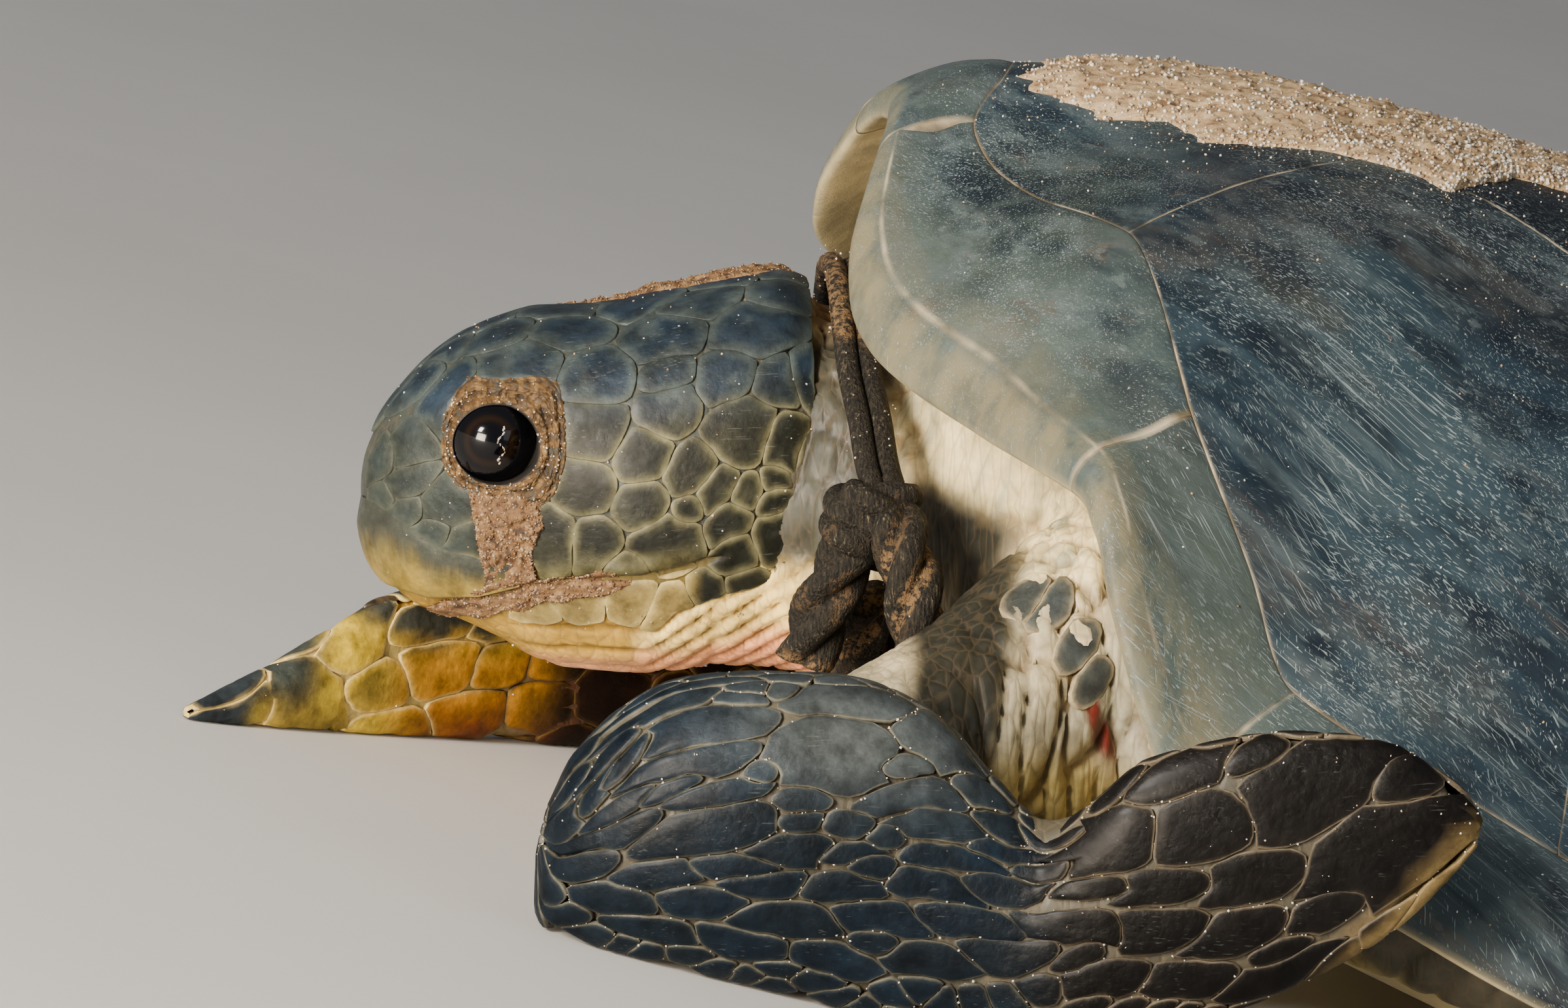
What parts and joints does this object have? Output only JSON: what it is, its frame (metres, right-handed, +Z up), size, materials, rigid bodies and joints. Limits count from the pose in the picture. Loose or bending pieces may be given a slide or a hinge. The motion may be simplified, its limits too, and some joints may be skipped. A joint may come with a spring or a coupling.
{
  "type": "green sea turtle",
  "caption": "Life-size green sea turtle lying still with its head raised, front flippers swept back and forward, a plated domed shell and a rope knotted round the neck.",
  "frame": {"origin": "on the floor, under the middle of the flat that the rear of the plastron rests on", "axes": "+Z up; the head points to -X and the tail to +X; the animal's left side is -Y"},
  "size_m": [1.2869, 0.7621, 0.3729],
  "materials": {
    "shell_scute": "worn wet horn, mottled blue-grey, green and brown with fine scratches",
    "plastron_horn": "pale yellow horn, worn smooth",
    "skin": "folded olive and cream skin set with dark scales",
    "head_plate": "smooth dark horn plates with pale seams",
    "beak_horn": "yellow horn with dark upright streaks",
    "eye": "glossy black",
    "claw": "dark horn",
    "rope": "old three-strand rope, frayed, dusted with sand"
  },
  "bodies": {
    "root": {"vertebral_1": "shell_scute", "vertebral_2": "shell_scute", "vertebral_3": "shell_scute", "vertebral_4": "shell_scute", "vertebral_5": "shell_scute", "left_costal_1": "shell_scute", "left_costal_2": "shell_scute", "left_costal_3": "shell_scute", "left_costal_4": "shell_scute", "left_marginal_1": "shell_scute", "left_marginal_2": "shell_scute", "left_marginal_3": "shell_scute", "left_marginal_4": "shell_scute", "left_marginal_5": "shell_scute", "left_marginal_6": "shell_scute", "left_marginal_7": "shell_scute", "left_marginal_8": "shell_scute", "left_marginal_9": "shell_scute", "left_marginal_10": "shell_scute", "left_marginal_11": "shell_scute", "left_marginal_12": "shell_scute", "right_costal_1": "shell_scute", "right_costal_2": "shell_scute", "right_costal_3": "shell_scute", "right_costal_4": "shell_scute", "right_marginal_1": "shell_scute", "right_marginal_2": "shell_scute", "right_marginal_3": "shell_scute", "right_marginal_4": "shell_scute", "right_marginal_5": "shell_scute", "right_marginal_6": "shell_scute", "right_marginal_7": "shell_scute", "right_marginal_8": "shell_scute", "right_marginal_9": "shell_scute", "right_marginal_10": "shell_scute", "right_marginal_11": "shell_scute", "right_marginal_12": "shell_scute", "nuchal": "shell_scute", "plastron": "plastron_horn", "head": "head_plate", "lower_jaw": "skin", "upper_beak": "beak_horn", "left_eye": "eye", "right_eye": "eye", "left_flipper": "skin", "right_flipper": "skin", "neck": "skin", "left_upper_arm": "skin", "right_upper_arm": "skin", "left_hind_flipper": "skin", "right_hind_flipper": "skin", "tail": "skin", "trunk": "skin", "left_claw": "claw", "right_claw": "claw", "neck_rope": "rope", "rope_knot": "rope"}
  },
  "joints": []
}
